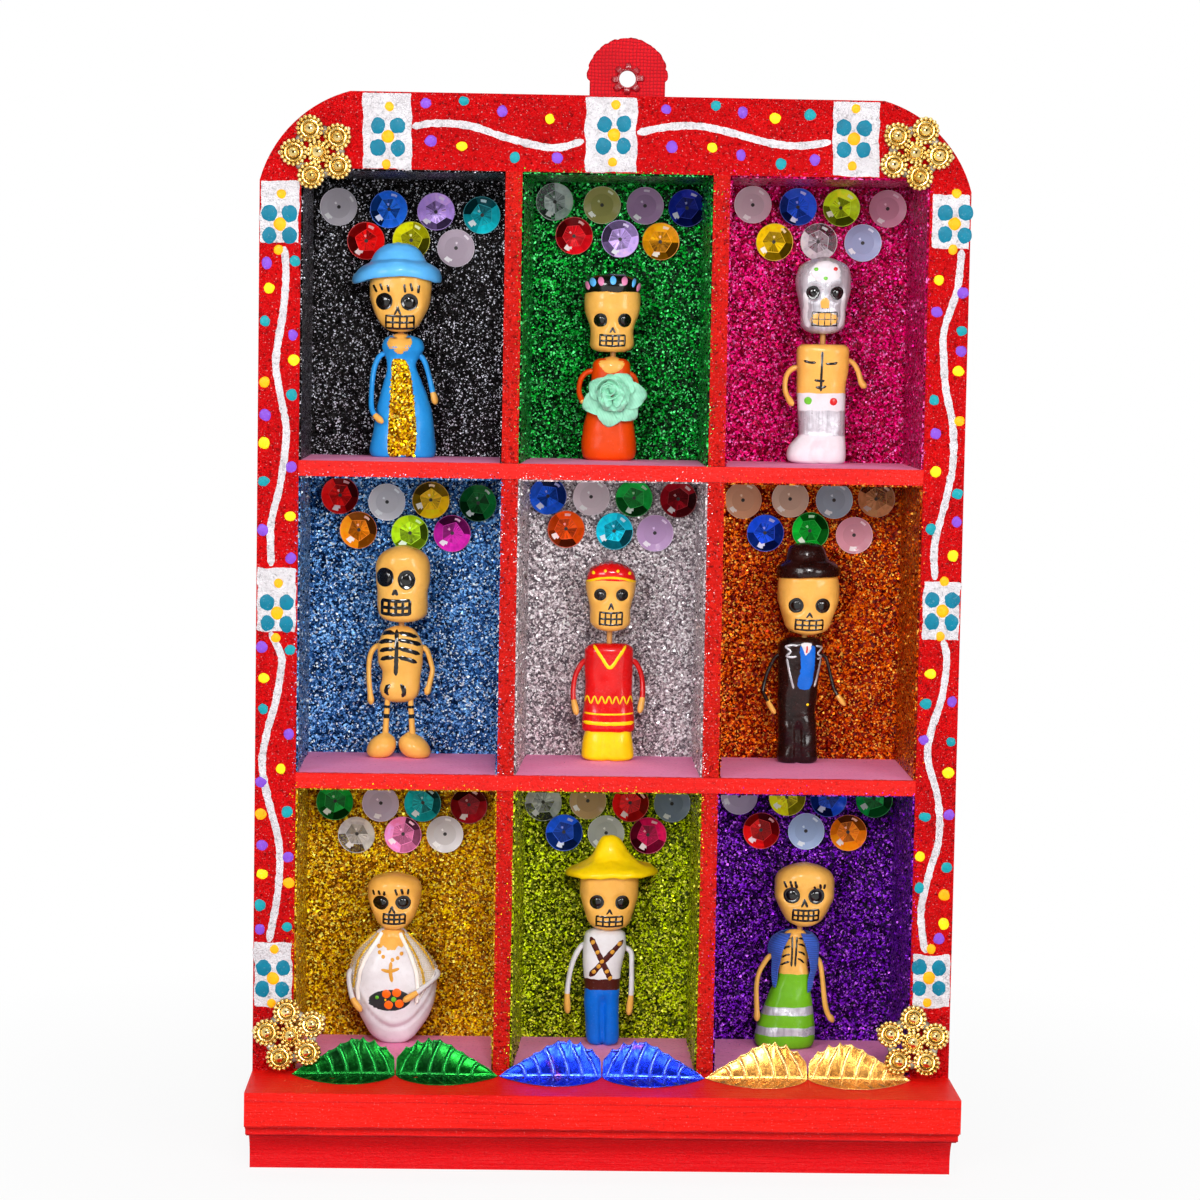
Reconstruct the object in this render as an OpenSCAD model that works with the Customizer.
// Wall or shelf shadow box with nine niches, each holding a small painted clay figure.
// +Z is up, the niches open towards -Y, and the origin is under the middle of the whole box.

/* [Box] */
// Width of the box over its side boards
body_w = 145; // [118:1:176]
// Depth of the niches, from the front edges to the back panel
niche_depth = 34; // [28:0.5:42]
// Thickness of the two side boards
side_t = 8.4; // [6:0.1:11]
// Height of the solid top rail
top_rail_h = 15.6; // [12:0.1:20]
// Height of the niche floor of the lower row over the table
floor_z = 19.5; // [15:0.1:24]
// Thickness of the back panel
back_t = 3; // [2:0.1:5]
// How far each top corner is cut back along both of its edges
corner_cut = 18.2; // [10:0.1:24]
// Radius of the bow of the cut top corners
corner_r = 26; // [24:0.5:40]

/* [Grid] */
// Clear height of the lower row
lower_row_h = 58.9; // [49:0.1:71]
// Clear height of the middle row
middle_row_h = 61.2; // [51:0.1:74]
// Clear height of the upper row
upper_row_h = 59.4; // [49:0.1:72]
// Thickness of the two shelves
shelf_t = 3.2; // [2.4:0.1:4.5]
// Thickness of the two dividers
divider_t = 3.4; // [2.4:0.1:4.5]
// Clear width of the middle column at the front
middle_col_w = 39; // [32:0.1:47]
// Shift of the middle column to the right of the box's middle
middle_col_x = 0.3; // [-1:0.1:1]
// How far the back edge of the left divider stands to the right of its front edge
divider_skew = 2.2; // [0:0.1:3]
// Play on each side of a divider in its halving joint
lap_gap = 0.1; // [0.05:0.01:0.3]

/* [Plinth] */
// How far the plinth moulding stands out in front of the box
ledge_out = 20; // [16:0.5:24]
// Height of the moulding's top face, on which the leaves lie
ledge_z = 19.2; // [16:0.1:24]
// Height of the moulding's flat upper band
fascia_h = 7; // [4:0.1:8.4]
// Radius of the hollow under the moulding's beads
cove_r = 7; // [5:0.1:8]

/* [Hanger] */
// Radius of the round end of the cloth tab
tab_r = 8.9; // [7.4:0.1:10.7]
// Thickness of the cloth tab
tab_t = 0.8; // [0.6:0.1:1.2]
// Height of the tab's hole over the top of the box
tab_hole_rise = 6.4; // [4.5:0.1:8]
// Place of the tab's hole to the right of the box's middle
tab_x = 3; // [-20:0.5:20]
// Radius of the bore through the eyelet
eyelet_r = 1.85; // [1.5:0.05:2.3]
// Wall of the eyelet's barrel
eyelet_wall = 0.35; // [0.25:0.05:0.5]
// Radius of the eyelet's rolled flange
flange_r = 3.3; // [3:0.1:4]

/* [Fasteners] */
// Shank diameter of the brads
brad_d = 1.2; // [0.9:0.1:1.6]
// Length of the brads under the head
brad_l = 11; // [8:0.5:14]
// Head diameter of the brads
brad_head_d = 2.6; // [2.2:0.1:3.4]
// Height of the brad heads over what they hold
brad_head_h = 0.5; // [0.3:0.1:0.8]
// Play of a shank in its hole
brad_play = 0.05; // [0.02:0.01:0.1]

/* [Trim] */
// Thickness of the glitter coat on the niche walls
glitter_t = 0.4; // [0.3:0.05:0.6]
// Bare strip of board in front of the glitter
glitter_edge = 1; // [0.5:0.1:2]
// Diameter of a cup sequin
sequin_d = 8; // [6.6:0.1:9.4]
// Depth of a sequin's cup
sequin_cup = 1; // [0.6:0.1:1.4]
// Film thickness of a sequin
sequin_t = 0.2; // [0.15:0.05:0.4]
// Height between the two rows of sequins
sequin_row_gap = 7.1; // [6.8:0.1:9.5]
// Radius of a rosette's beaded petals
petal_r = 2.8; // [2.3:0.1:3.2]
// Radius of the circle on which the petals stand
petal_ring_r = 4.9; // [4.2:0.1:5.6]
// Thickness of a rosette's plate
rosette_t = 1; // [0.8:0.1:1.4]
// Lean of the two lower rosettes
rosette_lean = 15; // [8:1:20]
// Width of the half leaf that lies on the ledge
leaf_flat_w = 9; // [7.5:0.1:10.8]
// Height of the half leaf that stands up
leaf_upright_h = 7.6; // [6.3:0.1:9]
// Thickness of the leaf foil
leaf_t = 0.25; // [0.2:0.05:0.4]

/* [Figures] */
// Distance of the figures' middles from the back panel
figure_back = 7.2; // [6.8:0.1:9]
// Depth of a body as a share of its width
body_flat = 0.62; // [0.5:0.01:0.72]
// Depth of a head from front to back
head_d = 9.4; // [8:0.1:11]
// Thickness of the arms
arm_d = 1.1; // [0.9:0.05:1.4]
// Thickness of the dark gentleman's thinner arms
thin_arm_d = 0.75; // [0.6:0.05:1]
// Diameter of the neck wires
neck_d = 1.2; // [0.9:0.1:1.5]
// How deep a neck wire goes into the body and into the head
neck_seat = 2; // [1.2:0.1:3]
// Play of a wire in the clay
wire_play = 0.05; // [0.02:0.01:0.1]
// Thickness of the cloth of the shawl and the vest
cloth_t = 0.25; // [0.2:0.05:0.4]
// Depth of the folds in the shawl and the vest
fold_depth = 0.3; // [0.1:0.05:0.5]

/* [Hidden] */
$fn = 48;

// Places of the box
front_y = (ledge_out - niche_depth - back_t - tab_t - brad_head_h) / 2;
inner_y = front_y + niche_depth;
back_y = inner_y + back_t;
lap_y = front_y + niche_depth / 2;
inner_w = body_w - 2 * side_t;
shelf_lower_z = floor_z + lower_row_h;
shelf_upper_z = shelf_lower_z + shelf_t + middle_row_h;
ceiling_z = shelf_upper_z + shelf_t + upper_row_h;
body_h = ceiling_z + top_rail_h;
left_x = middle_col_x - middle_col_w / 2 - divider_t / 2;
right_x = middle_col_x + middle_col_w / 2 + divider_t / 2;

// Floors and ceilings of the rows, from the lower one up
row_floor = [floor_z, shelf_lower_z + shelf_t, shelf_upper_z + shelf_t];
row_ceiling = [shelf_lower_z, shelf_upper_z, ceiling_z];
// Left and right walls of the columns at the front, and their shift at the back
col_left = [-inner_w / 2, left_x + divider_t / 2, right_x + divider_t / 2];
col_right = [left_x - divider_t / 2, right_x - divider_t / 2, inner_w / 2];
col_left_skew = [0, divider_skew, 0];
col_right_skew = [divider_skew, 0, 0];

// Middles of the figures: the column's middle and a shift chosen for each figure
figure_y = inner_y - figure_back;
figure_shift = [[-1.3, 1.4, -1.7], [-0.2, 0.6, -1.5], [-1.6, -0.3, 1.7]];
function col_mid(c) = (col_left[c] + col_right[c]) / 2;
function figure_x(r, c) = col_mid(c) + figure_shift[r][c];

// Neck wires, by row and column: place to the side, top of the body, underside of the head
necks = [[[0.3, 24.6, 25], [-0.3, 25.4, 25.8], [1.2, 25.6, 26.7]],
    [[-0.1, 28.3, 29.1], [0, 25.5, 27.8], [0.6, 26.9, 27.6]],
    [[0.4, 25.7, 26.6], [0.6, 21.7, 23], [-0.1, 25.2, 27.6]]];

// Arms, by row and column: the left arm's points and then the right arm's
arms = [
    [[[-7.6, -0.6, 16.4], [-9.3, -1.8, 15.2], [-8.5, -4, 10.7], [-6.8, -4.8, 8.2]],
        [[8.4, -0.6, 16.4], [9.7, -2, 15.2], [6, -5.6, 12.5], [3.1, -6.6, 10.7]]],
    [[[-3.6, 0, 22.4], [-5.8, 0, 21.4], [-7.7, -0.5, 17.6], [-8.6, -0.8, 12], [-8.5, -1, 7.6]],
        [[2.3, 0, 21.8], [4.9, 0, 20.5], [5.2, -0.4, 17.3], [5.2, -0.8, 11.8], [4.8, -1, 7.4]]],
    [[[-1.6, 0, 20.4], [-4.4, 0, 20.2], [-6.2, -0.2, 18.6], [-7.9, -0.8, 14.4], [-7.8, -2, 6.6]],
        [[2.4, 0, 19.9], [4.6, 0, 19.6], [5.9, -0.3, 17.8], [7.1, -1, 9], [8.5, -1.2, 6.3]]],
    [[[-3.9, 0, 24.2], [-5.7, 0, 23.6], [-6.8, 0, 21.4], [-6.9, -0.5, 17.1], [-6.4, -0.8, 12]],
        [[3.6, 0, 24], [5.3, 0, 23.2], [6.4, 0, 20.1], [6.6, -0.4, 18.3], [5.6, -0.8, 14.2]]],
    [[[-3.6, 0, 21.6], [-5.6, 0, 21], [-7.2, -0.3, 18], [-7.6, -0.8, 14], [-6.9, -1.6, 10.4]],
        [[3.6, 0, 21.6], [5.6, 0, 21.2], [7, -0.3, 18.4], [7.3, -0.8, 14.4], [6.8, -1.4, 11]]],
    [[[-3.9, 0, 23.6], [-5.5, 0, 22.8], [-7.1, -0.3, 19.7], [-8.1, -0.8, 16.1], [-7.7, -1.4, 14.3],
        [-5.9, -2.8, 11.3]],
        [[3.1, 0, 23.6], [5.2, 0, 22.9], [6.2, -0.3, 19.6], [7.1, -0.8, 16.3], [8.1, -1.2, 14.5],
        [9.2, -1.4, 13.1]]],
    [[[-2.2, 0, 22], [-3.9, 0, 21.4], [-5.2, -0.4, 18.3], [-5.6, -1.6, 12.6], [-5.2, -3.2, 9.6],
        [-3.4, -4.4, 7.7]],
        [[4.2, 0, 22], [5.5, -0.2, 20.4], [6.5, -0.4, 17.4], [7.3, -0.6, 14.2], [7.9, -0.8, 11.9]]],
    [[[-2.9, 0, 19], [-4.9, 0, 18.6], [-6.2, -0.6, 17], [-6.5, -2, 14.4], [-5.8, -3.2, 12.6]],
        [[3.3, 0, 18.8], [5, -0.4, 18], [5.7, -1.2, 16.2], [5.6, -2.6, 13.8], [4.9, -3.1, 12.4]]],
    [[[-4.6, 0, 20.6], [-6.6, 0, 20], [-7.8, 0, 18.2], [-7.8, -0.3, 15.1], [-6.6, -1, 12.8]],
        [[4.6, 0, 22.3], [6.4, 0, 21.6], [7.6, 0, 19.8], [8.3, -0.3, 17.5], [8.9, -0.5, 16.8]]]
];

// Colours as the finished box shows them
red = [0.86, 0.08, 0.07];
bone = [0.91, 0.68, 0.33];
gold = [0.85, 0.66, 0.22];
pink = [0.88, 0.44, 0.63];

// Turned outlines of the bodies, each point a radius and a height over the floor
blue_dress = [[0, 0], [6.7, 0], [6.9, 1.5], [6.4, 6], [5.2, 10], [3.6, 16], [3.4, 19],
    [4.3, 22], [4.3, 23.4], [2.6, 25.2], [0, 25.2]];
orange_dress = [[0, 0], [4.8, 0], [5.7, 1.4], [5.8, 3.4], [5.3, 7.5], [4.6, 12], [4.1, 18.6],
    [3.6, 20.8], [2.6, 21.7], [0, 21.7]];
wrestler_outline = [[0, 0], [5.4, 0], [6.1, 1.4], [5.9, 3.4], [4.9, 6.2], [5.1, 15], [5.5, 20],
    [5.5, 24], [4.9, 25.2], [0, 25.2]];
torso_outline = [[0, 12], [2.6, 12], [3.9, 13.2], [4.2, 15], [4, 17.8], [4.7, 20.5],
    [4.8, 23.6], [4, 26.4], [2.6, 28.3], [0, 28.3]];
poncho_outline = [[0, 0], [4.2, 0], [4.6, 1], [4.5, 6.6], [5.7, 6.8], [5.5, 10], [5, 16],
    [4.6, 22], [4, 24.4], [2.8, 25.5], [0, 25.5]];
suit_outline = [[0, 0], [3.9, 0], [4.2, 1], [4, 8], [4.2, 14], [4.6, 20], [4.8, 24.6],
    [4.2, 26.2], [3.2, 26.9], [0, 26.9]];
white_dress = [[0, 0], [3, 0], [5.8, 2.2], [8, 6.6], [8.8, 11.4], [8.7, 15], [7.4, 19.4],
    [5, 22.8], [2.8, 24.6], [0, 24.6]];
farmer_outline = [[0, 0], [2.8, 0], [3.5, 1.4], [3.7, 5], [3.8, 10], [4.1, 15], [4.7, 20],
    [4.7, 22.6], [4.1, 24.6], [2.6, 25.4], [0, 25.4]];
foot_outline = [[0, 0], [1.5, 0], [2.7, 1], [3.1, 2.4], [2.8, 3.8], [1.7, 4.8], [0, 5.2]];
green_outline = [[0, -1], [5.9, -1], [6.5, 2], [6.2, 4.4], [4.9, 10.3], [3.5, 16],
    [3, 16.4], [2.9, 20], [3, 23], [2.2, 25.6], [0, 25.6]];

// Turned outlines of the hats over the flat top of the head
wide_hat = [[0, 0], [8.6, 0], [9.4, 0.9], [9, 1.8], [6.4, 2.6], [4.6, 5.4], [2.6, 7], [0, 7.2]];
bowler_hat = [[0, 0], [6.6, 0], [6.8, 1.6], [4.2, 2.4], [3.7, 5.8], [2.6, 7.2], [0, 7.4]];
straw_hat = [[0, 0], [8.8, 0], [9.6, 1.4], [9.2, 2.6], [5, 4.4], [2.8, 7.6], [1.4, 9], [0, 9.2]];

// A skull's turned outline: a round cranium over a narrower jaw, flat above and below
function skull_outline(w, h, jaw) = concat([[0, 0]],
    [for (a = [-68:17:68]) let (s = sin(a) / sin(68), z = h / 2 * (1 + sign(s) * pow(abs(s), 0.8)))
        [w / 2 * pow(cos(a), 0.55) * (jaw + (1 - jaw) * min(1, 1.7 * z / h)), z]],
    [[0, h]]);

// The radius of a turned outline at a height, between its points
function radius_at(outline, z) = lookup(z, [for (i = [1:len(outline) - 2]) [outline[i][1], outline[i][0]]]);

// Corner arc of the box: distance of its centre from the two edges
arc_in = (corner_cut + sqrt(2 * corner_r * corner_r - corner_cut * corner_cut)) / 2;

// Front outline of the box, in X and Z
module box_outline() {
    difference() {
        translate([-body_w / 2, 0]) square([body_w, body_h]);
        for (side = [-1, 1]) mirror([side > 0 ? 1 : 0, 0]) difference() {
            translate([-body_w / 2 - 1, body_h - corner_cut]) square([corner_cut + 1, corner_cut + 1]);
            translate([-body_w / 2 + arc_in, body_h - arc_in]) circle(corner_r, $fn = 96);
        }
    }
}

// A board of the given depth behind y, cut to a front outline
module slab(y, depth) {
    translate([0, y + depth, 0]) rotate([90, 0, 0]) linear_extrude(depth) children();
}

// A rod along +Y from a point
module rod_y(x, y, z, r, l) {
    translate([x, y, z]) rotate([-90, 0, 0]) cylinder(r = r, h = l);
}

// A straight rod between two points
module rod(p, q, d) {
    v = q - p;
    translate(p) rotate([0, acos(v[2] / norm(v)), atan2(v[1], v[0])]) rotate(90) cylinder(d = d, h = norm(v));
}

// Places of the brads that hold the back panel: x and z
side_brad_x = (body_w - side_t) / 2;
panel_brads = concat(
    [for (s = [-1, 1], z = [floor_z / 2, row_floor[1] - shelf_t / 2, row_floor[2] - shelf_t / 2,
        body_h - corner_cut - 6]) [s * side_brad_x, z]],
    [for (x = [-inner_w / 4, inner_w / 4]) [x, body_h - top_rail_h / 2]],
    [for (x = [-inner_w / 3, 0, inner_w / 3]) [x, floor_z / 2]]);
// Places of the two brads that hold the hanger tab
tab_foot_z = body_h - top_rail_h + 3;
tab_brads = [for (s = [-1, 1]) [tab_x + s * 0.5 * tab_r, body_h - top_rail_h / 2]];

// Bores for all the brads, through whatever they pass
module brad_bores() {
    for (p = panel_brads) rod_y(p[0], back_y - brad_l - 0.5, p[1], brad_d / 2 + brad_play, brad_l + 2);
    for (p = tab_brads) rod_y(p[0], back_y - brad_l - 0.5, p[1], brad_d / 2 + brad_play, brad_l + 2);
}

module side_board(s) {
    color(red) difference() {
        slab(front_y, niche_depth) intersection() {
            box_outline();
            translate([s < 0 ? -body_w / 2 : body_w / 2 - side_t, 0]) square([side_t, body_h]);
        }
        brad_bores();
    }
}

module side_left() { side_board(-1); }
module side_right() { side_board(1); }

module top_rail() {
    color(red) difference() {
        slab(front_y, niche_depth) intersection() {
            box_outline();
            translate([-inner_w / 2, ceiling_z]) square([inner_w, top_rail_h]);
        }
        brad_bores();
    }
}

module bottom_rail() {
    color(red) difference() {
        translate([-inner_w / 2, front_y, 0]) cube([inner_w, niche_depth, floor_z]);
        brad_bores();
    }
}

module back_panel() {
    color([0.55, 0.42, 0.3]) difference() {
        slab(inner_y, back_t) box_outline();
        brad_bores();
    }
}

// Plan of a divider between two depths, with some play added on each side
module divider_plan(x, skew, y0, y1, play) {
    half = divider_t / 2 + play;
    s0 = skew * (y0 - front_y) / niche_depth;
    s1 = skew * (y1 - front_y) / niche_depth;
    polygon([[x - half + s0, y0], [x + half + s0, y0], [x + half + s1, y1], [x - half + s1, y1]]);
}

// A shelf, slotted from the back for both dividers
module shelf(z) {
    color(pink) difference() {
        translate([-inner_w / 2, front_y, z]) cube([inner_w, niche_depth, shelf_t]);
        translate([0, 0, z - 1]) linear_extrude(shelf_t + 2) {
            divider_plan(left_x, divider_skew, lap_y, inner_y + 1, lap_gap);
            divider_plan(right_x, 0, lap_y, inner_y + 1, lap_gap);
        }
    }
}

module shelf_upper() { shelf(shelf_upper_z); }
module shelf_lower() { shelf(shelf_lower_z); }

// A divider, notched from the front for both shelves
module divider(x, skew) {
    color(red) difference() {
        translate([0, 0, floor_z]) linear_extrude(ceiling_z - floor_z)
            divider_plan(x, skew, front_y, inner_y, 0);
        for (z = [shelf_lower_z, shelf_upper_z])
            translate([x - middle_col_w / 2, front_y - 1, z - lap_gap])
                cube([middle_col_w, niche_depth / 2 + 1 + lap_gap, shelf_t + 2 * lap_gap]);
    }
}

module divider_left() { divider(left_x, divider_skew); }
module divider_right() { divider(right_x, 0); }

// Moulding along the foot: a flat band over two beads and a hollow
module plinth_moulding() {
    foot_out = ledge_out - 8 - cove_r;
    bead_z = ledge_z - fascia_h;
    cove_z = bead_z - 3.2 - cove_r;
    color(red) translate([body_w / 2, front_y, 0]) rotate([90, 0, -90]) linear_extrude(body_w)
        difference() {
            polygon([[0, 0], [foot_out, 0], [foot_out, cove_z], [ledge_out - 8, cove_z],
                [ledge_out - 8, bead_z - 3.2], [ledge_out - 5.8, bead_z - 3.2],
                [ledge_out - 5.8, bead_z - 2.4], [ledge_out - 3.4, bead_z - 2.4],
                [ledge_out - 3.4, bead_z - 0.8], [ledge_out - 2, bead_z - 0.8],
                [ledge_out - 2, bead_z], [ledge_out, bead_z], [ledge_out, ledge_z], [0, ledge_z]]);
            translate([ledge_out - 8, cove_z]) circle(cove_r);
        }
}

// Brads with flat heads, driven in from the back
module brads() {
    color("silver") {
        for (p = panel_brads) {
            rod_y(p[0], back_y - brad_l, p[1], brad_d / 2, brad_l);
            rod_y(p[0], back_y, p[1], brad_head_d / 2, brad_head_h);
        }
        for (p = tab_brads) {
            rod_y(p[0], back_y + tab_t - brad_l, p[1], brad_d / 2, brad_l);
            rod_y(p[0], back_y + tab_t, p[1], brad_head_d / 2, brad_head_h);
        }
    }
}

tab_z = body_h + tab_hole_rise;

// Cloth tab behind the top rail, with a hole for the eyelet's barrel
module hanger_tab() {
    foot_w = 2 * tab_r - 1.6;
    color(red) difference() {
        slab(back_y, tab_t) {
            translate([tab_x, tab_z]) circle(tab_r);
            translate([tab_x - foot_w / 2, tab_foot_z]) square([foot_w, tab_z - tab_foot_z]);
        }
        rod_y(tab_x, back_y - 1, tab_z, eyelet_r + eyelet_wall + brad_play, tab_t + 2);
        for (p = tab_brads) rod_y(p[0], back_y - 1, p[1], brad_d / 2 + brad_play, tab_t + 2);
    }
}

// Metal eyelet: a barrel with its flange behind the tab and its split lip spread in front of it
module hanger_eyelet() {
    lip_t = 0.3;
    color(red) difference() {
        union() {
            rod_y(tab_x, back_y - lip_t, tab_z, eyelet_r + eyelet_wall, tab_t + 2 * lip_t);
            rod_y(tab_x, back_y + tab_t, tab_z, flange_r, lip_t);
            for (i = [0:6]) translate([tab_x, back_y - lip_t, tab_z]) rotate([0, 360 / 7 * i, 0])
                translate([eyelet_r, 0, -0.8]) cube([flange_r - eyelet_r + 0.4, lip_t, 1.6]);
        }
        rod_y(tab_x, back_y - 2, tab_z, eyelet_r, tab_t + 4);
    }
}

// Plan of a niche's clear space, drawn in by an inset on three sides
module niche_plan(c, inset, y0) {
    s0 = (y0 - front_y) / niche_depth;
    y1 = inner_y - inset;
    s1 = (y1 - front_y) / niche_depth;
    polygon([[col_left[c] + inset + s0 * col_left_skew[c], y0],
        [col_right[c] - inset + s0 * col_right_skew[c], y0],
        [col_right[c] - inset + s1 * col_right_skew[c], y1],
        [col_left[c] + inset + s1 * col_left_skew[c], y1]]);
}

// Glitter coat on the back, the two walls and the ceiling of a niche
module glitter(r, c) {
    y0 = front_y + glitter_edge;
    translate([0, 0, row_floor[r]]) linear_extrude(row_ceiling[r] - row_floor[r]) difference() {
        niche_plan(c, 0, y0);
        niche_plan(c, glitter_t, y0 - 1);
    }
    translate([0, 0, row_ceiling[r] - glitter_t]) linear_extrude(glitter_t) niche_plan(c, 0, y0);
}

module glitter_black() { color([0.08, 0.08, 0.09]) glitter(2, 0); }
module glitter_green() { color([0.02, 0.42, 0.16]) glitter(2, 1); }
module glitter_magenta() { color([0.75, 0.03, 0.42]) glitter(2, 2); }
module glitter_blue() { color([0.2, 0.38, 0.62]) glitter(1, 0); }
module glitter_silver() { color([0.72, 0.72, 0.74]) glitter(1, 1); }
module glitter_copper() { color([0.8, 0.28, 0.04]) glitter(1, 2); }
module glitter_gold() { color([0.85, 0.58, 0.06]) glitter(0, 0); }
module glitter_lime() { color([0.45, 0.48, 0.05]) glitter(0, 1); }
module glitter_purple() { color([0.3, 0.06, 0.5]) glitter(0, 2); }

// One cup sequin: a thin dish with a sewing hole, open along +Z
module sequin() {
    rotate_extrude($fn = 32) polygon([[0.5, 0], [2.2, 0], [sequin_d / 2, sequin_cup],
        [sequin_d / 2 - 0.1, sequin_cup + sequin_t], [2.1, sequin_t], [0.5, sequin_t]]);
}

// Sequins glued under the ceiling of a row: as many as fit, and one fewer below them
sequin_pitch = [10, 9.3, 9.7];
sequin_drop = [[7.4, 6.9, 5.4], [6.3, 5.2, 4.9], [7, 5.1, 4.8]];
module sequin_row(r) {
    color("lightsteelblue") for (c = [0:2]) {
        left = col_left[c] + col_left_skew[c];
        right = col_right[c] + col_right_skew[c];
        count = 1 + floor((right - left - sequin_d - 2 * glitter_t) / sequin_pitch[c]);
        for (k = [0:1], i = [0:count - 1 - k]) {
            wobble = 0.35 * sin(97 * (7 * r + 5 * c + 3 * i + 11 * k));
            inner = k == 1 || i > 0 && i < count - 1;
            translate([(left + right) / 2 + (i - (count - 1 - k) / 2) * sequin_pitch[c] + (inner ? wobble : 0),
                inner_y - glitter_t, row_ceiling[r] - sequin_drop[r][c] - k * sequin_row_gap - wobble])
                rotate([90, 0, 0]) sequin();
        }
    }
}

module sequins_upper() { sequin_row(2); }
module sequins_middle() { sequin_row(1); }
module sequins_lower() { sequin_row(0); }

// A rosette: five petals with small domes round a larger dome, standing up along +Z
module rosette(turn) {
    cylinder(r = 2.6, h = rosette_t);
    translate([0, 0, rosette_t]) intersection() {
        sphere(2.2);
        cylinder(r = 3, h = 3);
    }
    for (i = [0:4]) rotate(turn + 72 * i) translate([petal_ring_r, 0, 0]) {
        cylinder(r = petal_r, h = rosette_t + 0.3);
        translate([0, 0, rosette_t + 0.3]) intersection() {
            sphere(1.1);
            cylinder(r = 2, h = 2);
        }
    }
}

rosette_in = 11.8;
rosette_drop = 11.4;
rosette_out_r = petal_ring_r + petal_r;
module corner_rosettes() {
    low_z = ledge_z + leaf_t + 0.1 + rosette_out_r * cos(rosette_lean);
    color(gold) {
        translate([-body_w / 2 + rosette_in, front_y, body_h - rosette_drop - 1])
            rotate([90, 0, 0]) rosette(38);
        translate([body_w / 2 - rosette_in, front_y, body_h - rosette_drop + 1])
            rotate([90, 0, 0]) rosette(-6);
        for (s = [-1, 1])
            translate([s * (body_w / 2 - 8), front_y - rosette_out_r * sin(rosette_lean) - 0.1, low_z])
                rotate([90 - rosette_lean, 0, 0]) rosette(s < 0 ? 29 : 16);
    }
}

// Half of a leaf's outline: length along X, width along +Y
module half_leaf(l, w) {
    r = (w * w + l * l / 4) / (2 * w);
    intersection() {
        translate([0, w - r]) circle(r, $fn = 96);
        translate([-l / 2, 0]) square([l, w]);
    }
}

// A pair of folded leaves in front of one column: one half lies on the ledge, one stands up
leaf_gap = 0.3;
leaf_fold_y = front_y - 3.4;
module leaf_pair(c) {
    pitch = inner_w / 6;
    l = pitch - leaf_gap;
    for (k = [0:1]) translate([(2 * c + k - 2.5) * pitch, leaf_fold_y, ledge_z]) {
        mirror([0, 1, 0]) linear_extrude(leaf_t) half_leaf(l, leaf_flat_w);
        rotate([72, 0, 0]) linear_extrude(leaf_t) half_leaf(l, leaf_upright_h);
    }
}

module leaves_green() { color([0.02, 0.45, 0.12]) leaf_pair(0); }
module leaves_blue() { color([0.1, 0.2, 0.8]) leaf_pair(1); }
module leaves_gold() { color([0.92, 0.7, 0.3]) leaf_pair(2); }

// Moves a piece to the foot of the figure in a niche
module at_figure(r, c) {
    translate([figure_x(r, c), figure_y, row_floor[r]]) children();
}

// Bores for the neck wire and the arm wires of a figure, seen from its foot
module wire_bores(r, c) {
    n = necks[r][c];
    arm = arms[3 * r + c];
    d = r == 1 && c == 2 ? thin_arm_d : arm_d;
    translate([n[0], 0, n[1] - neck_seat - 0.2])
        cylinder(d = neck_d + 2 * wire_play, h = n[2] - n[1] + 2 * neck_seat + 0.4);
    for (p = arm) {
        v = p[1] - p[0];
        rod(p[0] - v / norm(v) * 0.2, p[1], d + 2 * wire_play);
    }
}

// A turned clay shape, flattened from front to back
module turned(outline, flat) {
    for (half = [0, 180]) scale([1, flat, 1]) rotate(half)
        rotate_extrude(angle = 180, $fn = 128) polygon(outline);
}

// A head on its neck wire
module head(r, c, x, w, h, jaw) {
    n = necks[r][c];
    at_figure(r, c) difference() {
        translate([x, 0, n[2]]) turned(skull_outline(w, h, jaw), head_d / w);
        wire_bores(r, c);
    }
}

// A body on the niche floor, at a place to the side
module figure_body(r, c, x, outline) {
    at_figure(r, c) difference() {
        translate([x, 0, 0]) turned(outline, body_flat);
        wire_bores(r, c);
    }
}

module blue_lady_head() { color(bone) head(2, 0, 0, 13.2, 11.5, 0.55); }
module blue_lady_dress() { color([0.2, 0.55, 0.85]) figure_body(2, 0, 0.9, blue_dress); }
module blue_hat() {
    color([0.3, 0.65, 0.92]) at_figure(2, 0)
        translate([-0.6, 0, necks[2][0][2] + 11.5]) turned(wide_hat, 0.66);
}

module rose_lady_head() { color(bone) head(2, 1, 0.6, 11.7, 12.6, 0.7); }
module rose_lady_band() {
    color([0.1, 0.1, 0.12]) at_figure(2, 1) translate([0.7, 0, necks[2][1][2] + 12.6])
        turned([[0, 0], [5.4, 0], [5.9, 1.4], [5.6, 3], [4.4, 3.8], [0, 3.8]], 0.8);
}
module rose_lady_dress() { color([0.93, 0.4, 0.05]) figure_body(2, 1, 0.2, orange_dress); }
module cloth_rose() {
    color([0.5, 0.85, 0.7]) at_figure(2, 1) translate([1.2, -3.9, 13.2]) rotate([90, 0, 0])
        turned([[0, 0], [5.3, 0], [6.7, 1.2], [6.2, 2.2], [4.1, 3.4], [2.9, 4.4], [0, 4.6]], 0.84);
}

module wrestler_head() { color("silver") head(2, 2, -0.1, 11.6, 16, 0.78); }
module wrestler_body() { color(bone) figure_body(2, 2, -0.1, wrestler_outline); }

module skeleton_head() { color(bone) head(1, 0, 0.1, 11.4, 16.3, 0.8); }
module skeleton_torso() {
    color(bone) at_figure(1, 0) difference() {
        translate([-0.2, 0, 0]) turned(torso_outline, body_flat);
        translate([-0.2, 0, 0]) skeleton_leg_rods(2 * wire_play, 0.2);
        wire_bores(1, 0);
    }
}

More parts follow.
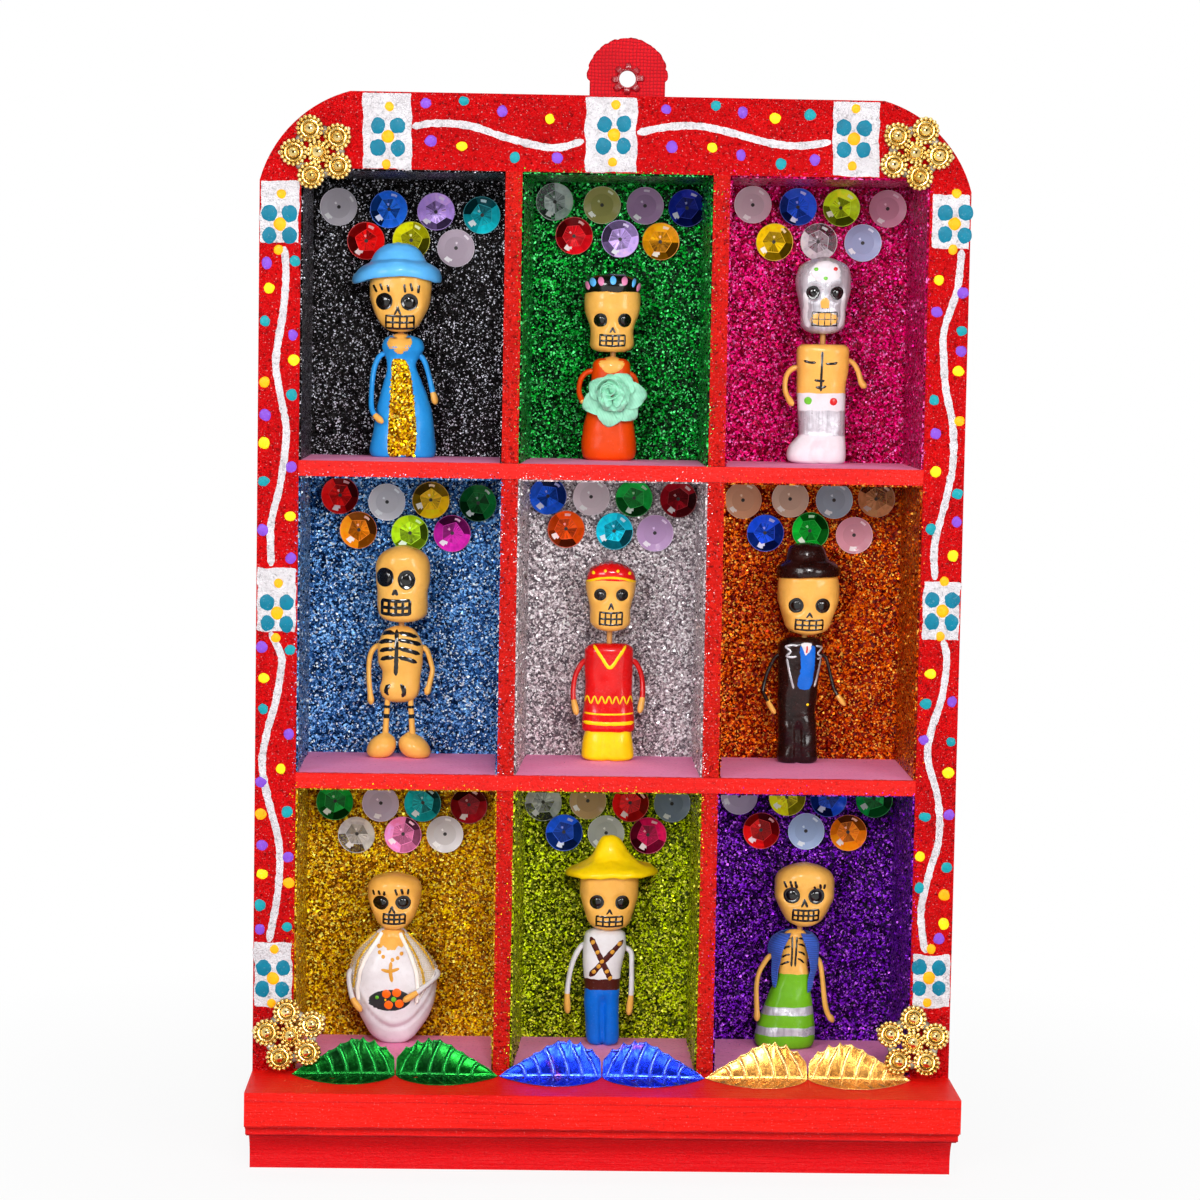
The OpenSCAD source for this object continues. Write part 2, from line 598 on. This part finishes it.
// Leg wires of the plain skeleton, from inside the torso into the feet
module skeleton_leg_rods(extra, up) {
    rod([-3.1, -0.4, 2.6], [-2.6, 0, 14 + up], arm_d + extra);
    rod([2.9, -0.4, 2.6], [2.2, 0, 14 + up], arm_d + extra);
}

module skeleton_legs() {
    color(bone) at_figure(1, 0) translate([-0.2, 0, 0]) {
        skeleton_leg_rods(0, 0);
        translate([-3.8, -0.6, 0]) turned(foot_outline, 1.05);
        translate([3.2, -0.6, 0]) turned(foot_outline, 1.05);
    }
}

module poncho_head() { color(bone) head(1, 1, 0, 11, 15, 0.72); }
module poncho_body() { color(red) figure_body(1, 1, 0, poncho_outline); }

module gentleman_head() { color(bone) head(1, 2, 1.4, 13, 12.4, 0.6); }
module gentleman_suit() { color([0.09, 0.07, 0.07]) figure_body(1, 2, -0.4, suit_outline); }
module gentleman_hat() {
    color([0.06, 0.05, 0.05]) at_figure(1, 2)
        translate([1.3, 0, necks[1][2][2] + 12.4]) turned(bowler_hat, 0.88);
}

module white_lady_head() { color(bone) head(0, 0, 0.2, 11.5, 11.8, 0.6); }
module white_lady_dress() { color("white") figure_body(0, 0, 0.4, white_dress); }

module farmer_head() { color(bone) head(0, 1, 0.2, 12.6, 12.2, 0.62); }
module farmer_body() { color([0.1, 0.42, 0.85]) figure_body(0, 1, -0.7, farmer_outline); }
module farmer_hat() {
    color([0.96, 0.84, 0.08]) at_figure(0, 1)
        translate([0.8, 0, necks[0][1][2] + 12.2]) turned(straw_hat, 0.66);
}

module green_lady_head() { color(bone) head(0, 2, 2.2, 12.5, 13.4, 0.66); }
// The lady in green leans to the right over a foot that is cut level with the floor
green_foot_x = -1.4;
green_lean = 5;
module green_lady_body() {
    color([0.45, 0.75, 0.15]) at_figure(0, 2) difference() {
        translate([green_foot_x, 0, 0]) rotate([0, green_lean, 0]) turned(green_outline, body_flat);
        translate([-15, -15, -5]) cube([30, 30, 5]);
        wire_bores(0, 2);
    }
}

// Cloth draped round a turned body: open at the front, longest beside the opening
// and shortest over the arms, with upright folds that stand clear of the clay
drape_steps = 36;
drape_rows = 7;
module drape(outline, off, z_top, z_side, z_front, gap_left, gap_right, folds) {
    a0 = -90 + gap_right;
    a1 = 270 - gap_left;
    function low_z(a) = z_side - (z_side - z_front)
        * pow(max(0, 1 - min(a - a0, a1 - a) / 42), 2);
    function at(i, j, out) = let (
        a = a0 + (a1 - a0) * i / drape_steps,
        z = low_z(a) + (z_top - low_z(a)) * j / drape_rows,
        r = radius_at(outline, z) + off + out
            + fold_depth * (1 + sin(a * folds)) * (1 - 0.7 * j / drape_rows))
        [r * cos(a), (r * body_flat + 0.38 * (off + out)) * sin(a), z];
    n = drape_rows + 1;
    inner = [for (i = [0:drape_steps], j = [0:drape_rows]) at(i, j, 0)];
    outer = [for (i = [0:drape_steps], j = [0:drape_rows]) at(i, j, cloth_t)];
    m = len(inner);
    walls = [for (i = [0:drape_steps - 1], j = [0:drape_rows - 1]) let (k = i * n + j)
        each [[k, k + 1, k + n], [k + 1, k + n + 1, k + n],
            [m + k, m + k + n, m + k + 1], [m + k + 1, m + k + n, m + k + n + 1]]];
    rims = [for (i = [0:drape_steps - 1]) let (k = i * n, t = i * n + drape_rows)
        each [[k, k + n, m + k + n], [k, m + k + n, m + k],
            [t, m + t + n, t + n], [t, m + t, m + t + n]]];
    e = drape_steps * n;
    ends = [for (j = [0:drape_rows - 1])
        each [[j, m + j, m + j + 1], [j, m + j + 1, j + 1],
            [e + j, e + j + 1, m + e + j + 1], [e + j, m + e + j + 1, m + e + j]]];
    polyhedron(concat(inner, outer), concat(walls, rims, ends));
}

module sheer_shawl() {
    color([0.95, 0.94, 0.9]) at_figure(0, 0) translate([0.4, 0, 0])
        drape(white_dress, 0.12, 24, 17.6, 9.6, 36, 32, 9);
}

// Outline of the stiff ribbon vest, which stands off the body at the shoulders
vest_outline = [[0, 9], [5.1, 9], [5, 15], [4.8, 19], [5, 21.6], [4.2, 23.6], [2.5, 25.4], [0, 25.4]];
module ribbon_vest() {
    color([0.1, 0.3, 0.75]) at_figure(0, 2) translate([0.4, 0, 0])
        drape(vest_outline, 0.1, 25.2, 21, 12, 24, 24, 7);
}

// One arm: straight runs that pass a little through each other at the bends, and a thicker hand
module arm(points, d) {
    last = len(points) - 1;
    function along(i) = (points[i + 1] - points[i]) / norm(points[i + 1] - points[i]) * d;
    for (i = [0:last - 1])
        rod(points[i] - (i > 0 ? 0.3 : 0) * along(i), points[i + 1] + 0.4 * along(i), i % 2 == 0 ? d : 0.88 * d);
    rod(points[last] - 0.5 * along(last - 1), points[last] + 0.7 * along(last - 1), 1.3 * d);
}

module arm_row(r) {
    for (c = [0:2]) at_figure(r, c) for (points = arms[3 * r + c])
        arm(points, r == 1 && c == 2 ? thin_arm_d : arm_d);
}

module arms_upper() { color(bone) arm_row(2); }
module arms_middle() { color(bone) arm_row(1); }
module arms_lower() { color(bone) arm_row(0); }

module neck_wires() {
    color("dimgray") for (r = [0:2], c = [0:2]) at_figure(r, c) {
        n = necks[r][c];
        translate([n[0], 0, n[1] - neck_seat]) cylinder(d = neck_d, h = n[2] - n[1] + 2 * neck_seat);
    }
}

side_left();
side_right();
top_rail();
bottom_rail();
back_panel();
shelf_upper();
shelf_lower();
divider_left();
divider_right();
plinth_moulding();
brads();
hanger_tab();
hanger_eyelet();
glitter_black();
glitter_green();
glitter_magenta();
glitter_blue();
glitter_silver();
glitter_copper();
glitter_gold();
glitter_lime();
glitter_purple();
sequins_upper();
sequins_middle();
sequins_lower();
corner_rosettes();
leaves_green();
leaves_blue();
leaves_gold();
blue_lady_head();
blue_lady_dress();
blue_hat();
rose_lady_head();
rose_lady_band();
rose_lady_dress();
cloth_rose();
wrestler_head();
wrestler_body();
skeleton_head();
skeleton_torso();
skeleton_legs();
poncho_head();
poncho_body();
gentleman_head();
gentleman_suit();
gentleman_hat();
white_lady_head();
white_lady_dress();
sheer_shawl();
farmer_head();
farmer_body();
farmer_hat();
green_lady_head();
green_lady_body();
ribbon_vest();
arms_upper();
arms_middle();
arms_lower();
neck_wires();
